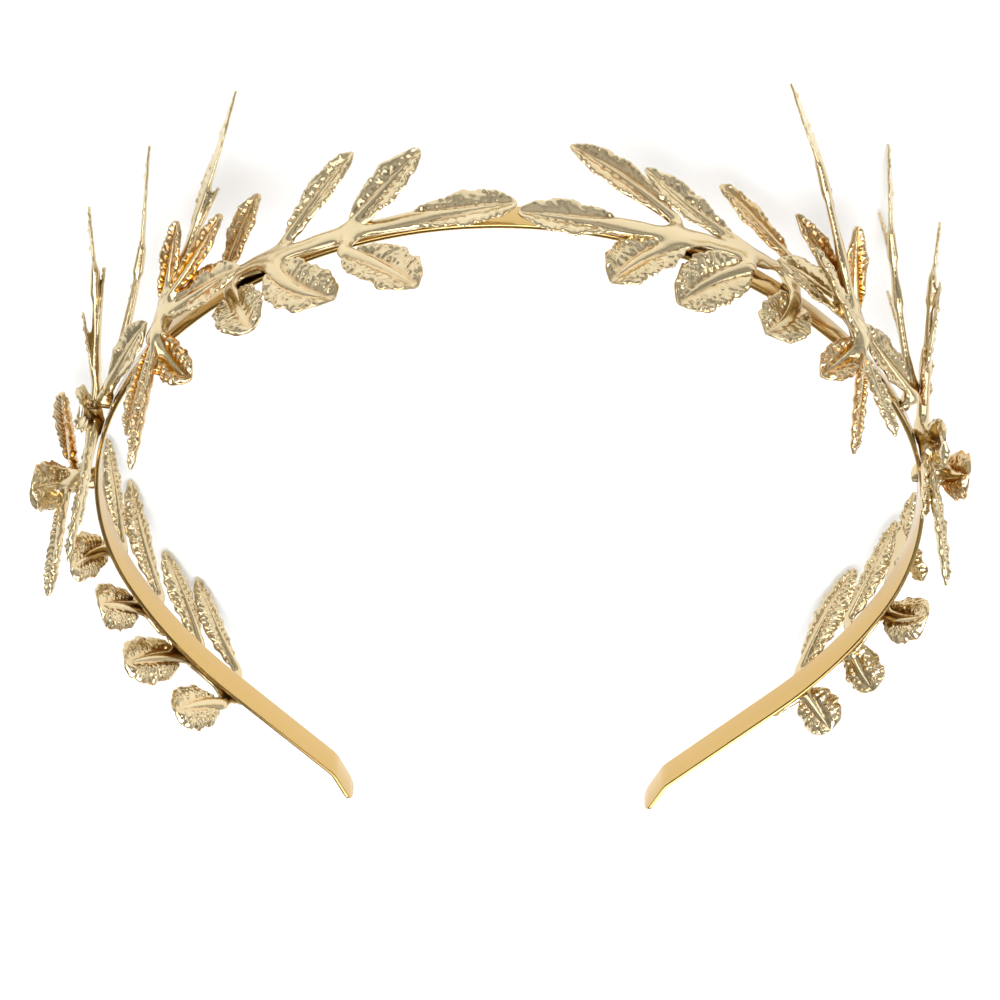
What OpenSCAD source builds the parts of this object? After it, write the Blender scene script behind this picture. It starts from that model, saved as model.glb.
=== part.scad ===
// Laurel wreath crown: an open metal band with cast laurel sprigs fixed to its outside.
// Lengths are in millimetres. The crown is drawn as worn: +X to its right, +Y to the back of
// the head and +Z to the crown of the head. At the end it is turned over to lie on its leaf tips.

/* [Band] */
// Height of the metal strip
band_w = 6; // [4:0.5:9]
// Thickness of the metal strip
band_t = 0.8; // [0.6:0.1:1.5]
// Inner radius of the front bow
front_r = 81; // [70:1:95]
// Half angle of the front bow
front_a = 50; // [40:1:55]
// Inner radius of each side bow
side_r = 48; // [42:1:58]
// Angle of each side bow
side_a = 65; // [58:1:70]
// Inner radius of each rear bow
rear_r = 95; // [80:1:120]
// Angle of each rear bow
rear_a = 18; // [12:1:20]
// Straight length of each end, up to its bend
end_run = 28; // [15:1:35]
// Outward bend of each end
bend_a = 19; // [8:1:30]
// Inner radius of that bend
bend_r = 6; // [4:0.5:12]
// Length of each bent tip
tip_run = 7; // [5:0.5:12]
// Radius of the tips' corners
tip_corner = 2; // [1:0.25:2.5]

/* [Leaves] */
// Length of a long leaf
leaf_len = 19; // [16:0.5:22]
// Width of a long leaf
leaf_w = 6.4; // [5:0.2:8]
// Length of a round leaf
round_len = 14; // [12:0.5:16]
// Width of a round leaf
round_w = 9.4; // [7:0.2:10]
// Thickness of a leaf
leaf_t = 0.8; // [0.6:0.05:1.2]
// Height of the raised midrib
rib_h = 0.5; // [0.2:0.05:0.8]

/* [Stems] */
// Width of a sprig's stem at its foot
stem_w = 3; // [2.2:0.1:3.6]
// Thickness of a sprig's stem
stem_t = 1.6; // [1.2:0.1:2]
// Gap between the band and the stems
gap = 0.15; // [0.1:0.05:0.3]

/* [Hidden] */
BOWS = [[front_r, front_a], [side_r, side_a], [rear_r, rear_a]];
LAST = len(BOWS);
// Direction of each end before its bend
end_h = front_a + side_a + rear_a;

// Length along the inside of the band, from the front centre to the end bends
function bow_run(i) = BOWS[i][0]*BOWS[i][1]*PI/180;
function run_to(i) = i == 0 ? 0 : run_to(i - 1) + bow_run(i - 1);
function turn_to(i) = i == 0 ? 0 : turn_to(i - 1) + BOWS[i - 1][1];
function chord(r, a, b) = r*[sin(b) - sin(a), cos(a) - cos(b)];
function point_to(i) = i == 0 ? [0, 0] : point_to(i - 1) + chord(BOWS[i - 1][0], turn_to(i - 1), turn_to(i));
half_run = run_to(LAST) + end_run;

// Direction and inner point of the right half of the band at the length s
function bow_at(s) = s < run_to(1) ? 0 : s < run_to(2) ? 1 : s < run_to(3) ? 2 : 3;
function turn_at(s) =
    let (i = bow_at(s))
    i == LAST ? end_h : turn_to(i) + (s - run_to(i))/BOWS[i][0]*180/PI;
function inner_at(s) =
    let (i = bow_at(s))
    i == LAST ? point_to(i) + (s - run_to(i))*[cos(end_h), sin(end_h)]
              : point_to(i) + chord(BOWS[i][0], turn_to(i), turn_at(s));

// Forward and outward directions at the length s, on the right (side 1) or the left (side -1)
function forward_at(side, s) = [-side*cos(turn_at(s)), -sin(turn_at(s)), 0];
function outward_at(side, s) = [side*sin(turn_at(s)), -cos(turn_at(s)), 0];

// A place near the band: a share of half_run, a height, and a distance out from the band
function place(side, share, h, out) =
    let (s = share*half_run, p = inner_at(s))
    [side*p[0], p[1], h] + (band_t + gap + stem_t/2 + out)*outward_at(side, s);

function unit(v) = v/norm(v);
function square_to(v, d) = unit(v - (v*d)*d);
function mix(a, b, t) = a + (b - a)*t;
function bezier(p, t) = mix(mix(p[0], p[1], t), mix(p[1], p[2], t), t);

// Sections of a blade, from its root to its tip: share of the length, share of the half width
LONG = [[0, 0.25], [0.25, 0.75], [0.52, 1], [0.8, 0.7], [1, 0.1]];
ROUND = [[0, 0.2], [0.22, 0.85], [0.5, 1], [0.82, 0.78], [1, 0.2]];
// Places across a blade, as shares of the half width, and the rise of each as a share of rib_h
ACROSS = [-1, -0.22, 0, 0.22, 1];
RIB = [0, 0.2, 1, 0.2, 0];
// Rise of a blade's margins, as a share of the half width
cup = 0.22;

// Columns of a leaf's row: its place along the stem, its root's height above the stem in half
// band heights, the angle it rises, the angle it turns outward from straight forward, the angle
// its face looks down, its bend towards its face, its length and width as shares of the leaf
// sizes, and its kind
function along(r) = r[0];
function root(r) = r[1];
function rise(r) = r[2];
function flare(r) = r[3];
function lean(r) = r[4];
function bend(r) = r[5];
function len_of(r) = r[6]*(r[8] == "long" ? leaf_len : round_len);
function wid_of(r) = r[7]*(r[8] == "long" ? leaf_w : round_w);
function table_of(r) = r[8] == "long" ? LONG : ROUND;

// A stem either follows the band, with three control points of shares of half_run, heights and
// distances out, or it stands free: its foot, its length, and the angles it rises and turns
// outward at its foot and at its end. Heights, distances and lengths are shares of leaf_len.
function free(path) = len(path) == 5;
function s_at(path, t) = half_run*(free(path) ? path[0][0] : bezier(path, t)[0]);
function aim(side, s, up, turn) =
    cos(up)*(cos(turn)*forward_at(side, s) + sin(turn)*outward_at(side, s)) + [0, 0, sin(up)];
function free_points(side, path) =
    let (s = s_at(path, 0), a = place(side, path[0][0], path[0][1]*leaf_len, path[0][2]*leaf_len),
        b = a + path[1]*leaf_len/2*aim(side, s, path[2][0], path[2][1]))
    [a, b, b + path[1]*leaf_len/2*aim(side, s, path[3][0], path[3][1])];
function stem_at(side, path, t) =
    free(path) ? bezier(free_points(side, path), t)
               : let (c = bezier(path, t)) place(side, c[0], c[1]*leaf_len, c[2]*leaf_len);
function root_at(side, path, r) =
    stem_at(side, path, along(r)) + [0, 0, root(r)*band_w/2];

function leaf_dir(side, s, r) = aim(side, s, rise(r), flare(r));
function leaf_face(side, s, r, d) =
    square_to(cos(lean(r))*outward_at(side, s) - [0, 0, sin(lean(r))], d);

// Point of a bent blade at the share u of its length, v across and w above its sheet
function arc_x(a, u) = abs(a) < 1 ? u : sin(a*u)/(a*PI/180);
function arc_z(a, u) = abs(a) < 1 ? 0 : (1 - cos(a*u))/(a*PI/180);
function blade_point(L, a, u, y, z) = [L*arc_x(a, u) - z*sin(a*u), y, L*arc_z(a, u) + z*cos(a*u)];

function blade_rows(r, w) = [
    for (k = table_of(r)) for (j = [0:4])
        let (hw = k[1]*wid_of(r)/2)
        blade_point(len_of(r), bend(r), k[0], ACROSS[j]*hw,
            cup*hw*ACROSS[j]*ACROSS[j] + RIB[j]*rib_h*min(1, 2.2 - 2*k[0]) + w)];

// A blade as a closed sheet: rows of points on its face, then the same on its back
module blade(r) {
    n = len(table_of(r));
    m = len(ACROSS);
    pts = concat(blade_rows(r, leaf_t/2), blade_rows(r, -leaf_t/2));
    back = n*m;
    face = [for (i = [0:n - 2]) for (j = [0:m - 2])
        let (a = i*m + j) each [[a, a + 1, a + m], [a + 1, a + m + 1, a + m]]];
    under = [for (f = face) [back + f[0], back + f[2], back + f[1]]];
    rim = [for (i = [0:n - 2]) each [
        [i*m, i*m + m, back + i*m], [i*m + m, back + i*m + m, back + i*m],
        [i*m + m - 1, back + i*m + m - 1, i*m + 2*m - 1],
        [i*m + 2*m - 1, back + i*m + m - 1, back + i*m + 2*m - 1]]];
    last = (n - 1)*m;
    ends = [for (j = [0:m - 2]) each [
        [j, back + j, j + 1], [j + 1, back + j, back + j + 1],
        [last + j, last + j + 1, back + last + j],
        [last + j + 1, back + last + j + 1, back + last + j]]];
    polyhedron(points = pts, faces = concat(face, under, rim, ends));
}

// Moves a child to p, with its x along d and its z along n
module posed(p, d, n) {
    b = cross(n, d);
    multmatrix([
        [d[0], b[0], n[0], p[0]],
        [d[1], b[1], n[1], p[1]],
        [d[2], b[2], n[2], p[2]],
        [0, 0, 0, 1]])
        children();
}

// One knot of a stem: a thin disc across it with that many sides, flat towards its face
module knot(p, d, n, share, sides = 6) {
    posed(p, d, n)
        scale([1, 1, stem_t/stem_w])
            rotate([0, 90, 0])
                cylinder(d = stem_w*share, h = 0.1, center = true, $fn = sides);
}

// A stem's direction and face at t
function stem_dir(side, path, t) = unit(stem_at(side, path, min(1, t + 0.01)) - stem_at(side, path, t - 0.01));
function stem_face(side, path, t) =
    square_to(outward_at(side, s_at(path, t)), stem_dir(side, path, t));

// Stem of a sprig, thinner towards its end
module stem(side, path, steps, thin) {
    for (i = [0:steps - 1])
        hull()
            for (k = [i, i + 1])
                knot(stem_at(side, path, k/steps), stem_dir(side, path, k/steps),
                    stem_face(side, path, k/steps), 1 - (1 - thin)*k/steps);
}

// Stalk from the stem to a leaf's root
module stalk(side, path, r) {
    t = along(r);
    s = s_at(path, t);
    d = leaf_dir(side, s, r);
    n = leaf_face(side, s, r, d);
    hull() {
        knot(stem_at(side, path, t), stem_dir(side, path, t), stem_face(side, path, t), 0.6, 4);
        knot(root_at(side, path, r) + d*0.08*len_of(r), d, n, 0.5, 4);
    }
}

// Foot of a stem, flat against the band
module foot(side, path) {
    h = min(path[0][1]*leaf_len, band_w/2 - 0.9);
    hull() {
        knot(stem_at(side, path, 0), stem_dir(side, path, 0), stem_face(side, path, 0), 1);
        knot(place(side, path[0][0], h, 0.05 - stem_t/2), outward_at(side, s_at(path, 0)), [0, 0, 1], 1);
    }
}

// A whole sprig: its foot, its stem, its stalks and its leaves
module sprig(side, path, steps, thin, leaves) {
    foot(side, path);
    stem(side, path, steps, thin);
    for (r = leaves) {
        s = s_at(path, along(r));
        d = leaf_dir(side, s, r);
        stalk(side, path, r);
        posed(root_at(side, path, r), d, leaf_face(side, s, r, d))
            blade(r);
    }
}

// The sprigs, as their side (-1 is the left of the photograph), their stem's path, its steps, the
// thinning of its end, and their leaves
LEFT_FRONT = [-1, [[0.28, 0.05, 0], [0.185, -0.2, 0.06], [0.092, -0.12, 0.03]], 5, 0.6, [
    [1, 0, 5, 0, 15, -4, 0.9, 1.38, "long"],
    [0.68, 0.4, 25, 25, 20, 0, 0.93, 1.15, "long"],
    [0.35, 1.2, 25, 23, 20, 0, 0.98, 1, "long"],
    [0, 0.6, 35, 30, 20, 0, 0.76, 0.95, "long"],
    [0.7, -2.2, -44, -12, 0, 0, 1.15, 1.08, "round"],
    [0.3, -1.3, -44, -20, 0, 0, 1.1, 1.08, "round"],
    [0.06, -2, -68, -30, 0, 0, 0.85, 1, "round"]]];
LEFT_SECOND = [-1, [[0.367, -0.1, 0.03], 1.37, [31, 18], [31, 23], 0], 4, 0.5, [
    [1, 0.2, 31, 25, -12, 0, 0.93, 0.8, "long"],
    [0.6, 0.6, 42, 25, -8, 0, 0.87, 0.9, "long"],
    [0.36, 1.2, 15, 16, -5, 0, 0.9, 0.9, "long"],
    [0.25, -1.5, -8, -6, 10, 0, 0.95, 1.35, "long"],
    [0.4, -1.5, 20, 10, 25, 0, 0.85, 0.8, "long"],
    [0.15, 0.5, 22, 33, 30, 0, 0.83, 0.85, "long"],
    [0.2, -3, -45, -157, 20, 0, 0.9, 0.85, "long"],
    [0.25, -4, -45, -150, 0, 0, 1.15, 0.7, "long"],
    [0.25, -3.9, -47, -70, 0, 0, 0.7, 0.75, "round"]]];
LEFT_THIRD = [-1, [[0.465, 0.05, 0.03], 1.44, [31, 0], [31, 15], 0], 4, 0.5, [
    [1, 0.2, 31, 19, -5, 0, 0.93, 0.8, "long"],
    [0.38, 0.2, 40, 10, 0, 0, 0.93, 0.8, "long"],
    [0.2, -1.5, 4, -6, 30, 0, 0.77, 1.2, "long"]]];
LEFT_FOURTH = [-1, [[0.49, 0, 0.03], 1.4, [31, 17], [31, 20], 0], 4, 0.5, [
    [1, 0, 31, 24, 0, 0, 0.6, 0.8, "long"],
    [0.5, 0, 38, 12, 0, 0, 0.75, 0.8, "long"],
    [0.28, 0, 34, 32, 0, 0, 0.65, 0.8, "long"],
    [0.08, 1.6, 22, 18, 10, 0, 0.62, 0.9, "long"],
    [0.1, -0.6, -43, 20, 20, 0, 0.8, 0.85, "round"],
    [0, -0.5, -45, -170, 10, 0, 0.9, 0.9, "long"],
    [0, -1, -45, -173, 10, 0, 1.2, 0.9, "long"]]];
LEFT_SIDE = [-1, [[0.55, -0.05, 0], 0.2, [-5, 90], [-5, 110], 0], 2, 0.8, [
    [1, 1.4, 8, 8, 25, 0, 0.78, 1.1, "long"],
    [1, -0.4, -46, 54, 0, 0, 0.67, 0.9, "round"],
    [1, -2, -45, 176, 35, 0, 0.9, 0.9, "long"]]];
LEFT_REAR = [-1, [[0.747, 0, 0], [0.69, 0.25, 0.08], [0.64, 0.27, 0.05]], 4, 0.6, [
    [0.7, 1.4, 35, -10, -20, 0, 1.05, 0.8, "long"],
    [0.1, 2.2, 35, -11, -20, 0, 1.15, 0.9, "long"],
    [0.9, -1, -60, 20, 0, 0, 1, 0.95, "round"],
    [0.3, -1.3, -41, 6, 0, 0, 0.9, 1, "round"]]];
LEFT_END = [-1, [[0.865, 0, 0], [0.815, 0.1, 0.1], [0.77, 0.1, 0.05]], 4, 0.6, [
    [0.56, 1.8, 35, -10, -20, 0, 1, 0.9, "long"],
    [0.06, 2.2, 35, -11, -20, 0, 1, 0.9, "long"],
    [0.8, -0.9, -41, 20, 0, 0, 0.98, 1.05, "round"],
    [0.17, -1.8, -44, 7, 0, 0, 0.9, 1, "round"]]];
RIGHT_FRONT = [1, [[0.262, 0.33, 0], [0.15, -0.05, 0.06], [0.087, -0.12, 0.03]], 5, 0.6, [
    [1, 0, -1, -2, 15, -4, 0.88, 1.25, "long"],
    [0.65, 1.7, 15, 12, 20, 0, 1.1, 1.1, "long"],
    [0.31, 1, 20, 6, 20, 0, 1, 1.05, "long"],
    [0, 1.5, 20, 7, 15, 0, 0.9, 0.95, "long"],
    [0.61, -0.9, -40, -26, 0, 0, 1.08, 1.08, "round"],
    [0.25, -1.6, -42, -29, 20, 0, 1.12, 1.08, "round"],
    [0, -3.2, -60, -35, 0, 0, 0.75, 1, "round"]]];
RIGHT_SECOND = [1, [[0.342, -0.05, 0.05], 1.6, [28, 29], [28, 26], 0], 4, 0.5, [
    [1, 0, 28, 20, -10, 0, 0.77, 0.8, "long"],
    [0.57, 0.6, 36, 26, -8, 0, 0.95, 0.8, "long"],
    [0.2, -1.6, 2, -5, 10, 0, 0.95, 1.3, "long"],
    [0.15, -2.2, 18, 15, 0, 0, 0.9, 0.8, "long"],
    [0.12, 0.5, 20, 10, 25, 0, 1.06, 0.85, "long"],
    [0.02, 2.3, 20, 42, 30, 0, 0.82, 0.85, "long"],
    [0.1, -3, -42, -130, 0, 0, 0.88, 0.7, "long"],
    [0, -1.1, -40, -165, 15, 0, 0.8, 0.7, "long"],
    [0.1, -2, -50, -50, 0, 0, 0.8, 0.7, "round"]]];
RIGHT_THIRD = [1, [[0.437, 0.35, 0.06], 1.4, [31, 13], [31, 20], 0], 4, 0.5, [
    [1, 0, 31, 23, -5, 0, 0.83, 0.8, "long"],
    [0.7, 0.7, 42, 9, -5, 0, 0.6, 0.8, "long"],
    [0.22, 1.2, 35, 5, -5, 0, 0.5, 0.8, "long"],
    [0, -0.9, 6, -10, 15, 0, 0.89, 1.2, "long"]]];
RIGHT_FOURTH = [1, [[0.475, 0.2, 0.03], 1.38, [31, 20], [31, 23], 0], 4, 0.5, [
    [1, 0, 31, 25, 0, 0, 0.53, 0.8, "long"],
    [0.54, -1, 35, 28, 0, 0, 0.7, 0.8, "long"],
    [0.1, 0.2, 24, 18, 20, 0, 0.61, 1, "long"],
    [0, -1, -55, 40, 20, 0, 0.7, 0.9, "round"],
    [0, -1.5, -45, -158, 10, 0, 0.7, 0.9, "long"],
    [0, -1.5, -45, -172, 10, 0, 1.33, 0.9, "long"]]];
RIGHT_SIDE = [1, [[0.528, 0.2, 0], 0.16, [-5, 80], [-5, 95], 0], 2, 0.8, [
    [1, 0, -50, 43, 20, 0, 0.61, 0.95, "round"]]];
RIGHT_REAR = [1, [[0.737, 0, 0], [0.68, 0.25, 0.08], [0.635, 0.4, 0.05]], 4, 0.6, [
    [0.6, 1, 30, -8, -20, 0, 0.85, 0.8, "long"],
    [0, 2.6, 30, -4, -20, 0, 1.05, 0.9, "long"],
    [0.95, 1.2, -44, 130, 0, 0, 0.6, 0.6, "round"],
    [0.4, -0.8, -43, 16, 0, 0, 0.9, 1, "round"]]];
RIGHT_END = [1, [[0.85, 0, 0], [0.79, 0.3, 0.1], [0.74, 0.1, 0.05]], 4, 0.6, [
    [0.27, 1.4, 30, -10, -20, 0, 1.15, 1.1, "long"],
    [0.9, -0.3, -51, 100, 0, 0, 0.67, 0.95, "round"],
    [0.27, -0.8, -51, 82, 0, 0, 0.65, 1, "round"]]];
SPRIGS = [
    LEFT_FRONT, LEFT_SECOND, LEFT_THIRD, LEFT_FOURTH, LEFT_SIDE, LEFT_REAR, LEFT_END,
    RIGHT_FRONT, RIGHT_SECOND, RIGHT_THIRD, RIGHT_FOURTH, RIGHT_SIDE, RIGHT_REAR, RIGHT_END];

// Inner and outer edges of the right half of the band, seen from above, up to its bent tip
STEP = 2.5;
function bow_stations(i) =
    let (n = ceil(BOWS[i][1]/STEP)) [for (k = [0:n - 1]) run_to(i) + bow_run(i)*k/n];
STATIONS = concat([for (i = [0:LAST - 1]) each bow_stations(i)], [run_to(LAST)]);
// Centre of the outward bend, and its inner point at the turn a
bend_c = inner_at(half_run) + (band_t + bend_r)*[sin(end_h), -cos(end_h)];
function bend_point(a, r) = bend_c + r*[-sin(end_h - a), cos(end_h - a)];
tip_dir = [cos(end_h - bend_a), sin(end_h - bend_a)];
BENDS = [for (k = [0:4]) bend_a*k/4];
inner_edge = concat([for (s = STATIONS) inner_at(s)], [for (a = BENDS) bend_point(a, bend_r + band_t)]);
outer_edge = concat([for (s = STATIONS) inner_at(s) + band_t*[sin(turn_at(s)), -cos(turn_at(s))]],
    [for (a = BENDS) bend_point(a, bend_r)]);
inner_end = bend_point(bend_a, bend_r + band_t);

// The crown lies upside down on its highest leaf tip of each of these sprigs
RESTS = [RIGHT_THIRD, LEFT_REAR, LEFT_END];

// Points of a leaf's sheet where it stands
function leaf_points(g, r) =
    let (s = s_at(g[1], along(r)), d = leaf_dir(g[0], s, r), n = leaf_face(g[0], s, r, d),
        b = cross(n, d), o = root_at(g[0], g[1], r))
    [for (q = concat(blade_rows(r, leaf_t/2), blade_rows(r, -leaf_t/2))) o + q[0]*d + q[1]*b + q[2]*n];
function sprig_points(g) = [for (r = g[4]) each leaf_points(g, r)];
band_end = inner_end + tip_run*tip_dir;
ALL = concat([for (g = SPRIGS) each sprig_points(g)],
    [for (i = [-1, 1]) for (k = [-1, 1]) [i*band_end[0], band_end[1], k*(band_w/2 - tip_corner)]]);
function furthest(pts, v, i = 0, best = 0) =
    i == len(pts) ? pts[best] : furthest(pts, v, i + 1, pts[i]*v > pts[best]*v ? i : best);
FEET = [for (g = RESTS) furthest(sprig_points(g), [0, 0.1, 1])];
ACROSS_FEET = cross(FEET[1] - FEET[0], FEET[2] - FEET[0]);
DOWN = unit(ACROSS_FEET)*sign(ACROSS_FEET[2]);
RIGHTWARD = square_to([1, 0, 0], DOWN);
FRONTWARD = cross(-DOWN, RIGHTWARD);
function middle(v) = let (k = [for (q = ALL) q*v]) (min(k) + max(k))/2;

// Turns the crown over and sets it down on those tips, above the middle of its footprint
module at_rest() {
    multmatrix([
        concat(RIGHTWARD, -middle(RIGHTWARD)),
        concat(FRONTWARD, -middle(FRONTWARD)),
        concat(-DOWN, max([for (q = ALL) q*DOWN])),
        [0, 0, 0, 1]])
        children();
}

function left_of(edge) = [for (i = [len(edge) - 1:-1:1]) [-edge[i][0], edge[i][1]]];
function reversed(edge) = [for (i = [len(edge) - 1:-1:0]) edge[i]];

// Bent tip of an end, with its two corners rounded
module end_tip() {
    r = tip_corner;
    h = band_w/2;
    translate(concat(inner_end, 0))
        rotate(end_h - bend_a)
            rotate([90, 0, 0])
                linear_extrude(band_t)
                    polygon(concat([[0, -h]],
                        [for (a = [-90:15:0]) [tip_run - r + r*cos(a), r - h + r*sin(a)]],
                        [for (a = [0:15:90]) [tip_run - r + r*cos(a), h - r + r*sin(a)]],
                        [[0, h]]));
}

module band() {
    color([0.86, 0.7, 0.42]) at_rest() {
        translate([0, 0, -band_w/2])
            linear_extrude(band_w)
                polygon(concat(left_of(inner_edge), inner_edge, reversed(outer_edge),
                    [for (i = [1:len(outer_edge) - 1]) [-outer_edge[i][0], outer_edge[i][1]]]));
        end_tip();
        mirror([1, 0, 0])
            end_tip();
    }
}

// A sprig in its colour and place
module cast(g) {
    color([0.9, 0.8, 0.58]) at_rest()
        sprig(g[0], g[1], g[2], g[3], g[4]);
}

module left_front_sprig() {
    cast(LEFT_FRONT);
}

module left_second_sprig() {
    cast(LEFT_SECOND);
}

module left_third_sprig() {
    cast(LEFT_THIRD);
}

module left_fourth_sprig() {
    cast(LEFT_FOURTH);
}

module left_side_sprig() {
    cast(LEFT_SIDE);
}

module left_rear_sprig() {
    cast(LEFT_REAR);
}

module left_end_sprig() {
    cast(LEFT_END);
}

module right_front_sprig() {
    cast(RIGHT_FRONT);
}

module right_second_sprig() {
    cast(RIGHT_SECOND);
}

module right_third_sprig() {
    cast(RIGHT_THIRD);
}

module right_fourth_sprig() {
    cast(RIGHT_FOURTH);
}

module right_side_sprig() {
    cast(RIGHT_SIDE);
}

module right_rear_sprig() {
    cast(RIGHT_REAR);
}

module right_end_sprig() {
    cast(RIGHT_END);
}

band();
left_front_sprig();
left_second_sprig();
left_third_sprig();
left_fourth_sprig();
left_side_sprig();
left_rear_sprig();
left_end_sprig();
right_front_sprig();
right_second_sprig();
right_third_sprig();
right_fourth_sprig();
right_side_sprig();
right_rear_sprig();
right_end_sprig();
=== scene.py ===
"""Looks of the laurel wreath crown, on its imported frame. Lengths are in millimetres until at_rest()
turns them into metres. Sprigs are shaped in the crown's own frame (x right, y back, z up as worn),
with the same places and leaf rows as the solids, and at_rest() then lays them down as those lie."""
import bpy
import math
import numpy as np
from collections import namedtuple
from mathutils import Matrix, Vector


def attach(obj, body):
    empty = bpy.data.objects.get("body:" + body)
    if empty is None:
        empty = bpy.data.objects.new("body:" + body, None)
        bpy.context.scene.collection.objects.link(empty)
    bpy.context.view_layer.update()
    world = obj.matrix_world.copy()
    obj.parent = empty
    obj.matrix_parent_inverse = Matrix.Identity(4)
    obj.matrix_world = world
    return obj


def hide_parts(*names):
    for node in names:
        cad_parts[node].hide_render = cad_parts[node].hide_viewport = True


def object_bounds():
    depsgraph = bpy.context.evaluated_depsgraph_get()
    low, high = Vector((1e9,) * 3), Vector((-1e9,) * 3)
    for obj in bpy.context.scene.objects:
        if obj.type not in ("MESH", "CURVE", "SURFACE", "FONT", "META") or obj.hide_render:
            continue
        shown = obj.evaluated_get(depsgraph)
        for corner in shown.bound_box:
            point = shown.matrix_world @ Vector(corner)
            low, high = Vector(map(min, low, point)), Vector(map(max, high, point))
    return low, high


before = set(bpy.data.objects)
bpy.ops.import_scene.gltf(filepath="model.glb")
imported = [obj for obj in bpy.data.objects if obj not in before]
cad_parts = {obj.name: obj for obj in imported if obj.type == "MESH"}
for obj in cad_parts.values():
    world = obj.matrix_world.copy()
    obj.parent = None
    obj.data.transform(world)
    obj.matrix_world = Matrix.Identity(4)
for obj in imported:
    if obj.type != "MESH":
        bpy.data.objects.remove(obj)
cad_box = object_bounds()

# Sizes, as in the part: the band, its bows as (radius, angle) from the front, its end and tip
BAND_W, BAND_T = 6.0, 0.8
BOWS = ((81, 50), (48, 65), (95, 18))
END_RUN, BEND_A, BEND_R, TIP_RUN, TIP_CORNER = 28, 19, 6, 7, 2
# the leaves and stems, and the gap behind a stem
LEAF_LEN, LEAF_W, ROUND_LEN, ROUND_W = 19, 6.4, 14, 9.4
LEAF_T, RIB_H, CUP = 0.8, 0.5, 0.22
STEM_W, STEM_T, GAP = 3, 1.6, 0.15
# lengths and turns of half the band up to the end of each bow, and its whole length
RUNS = np.cumsum([0] + [r*math.radians(a) for r, a in BOWS])
TURNS = np.cumsum([0] + [math.radians(a) for r, a in BOWS])
HALF = RUNS[-1] + END_RUN

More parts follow.
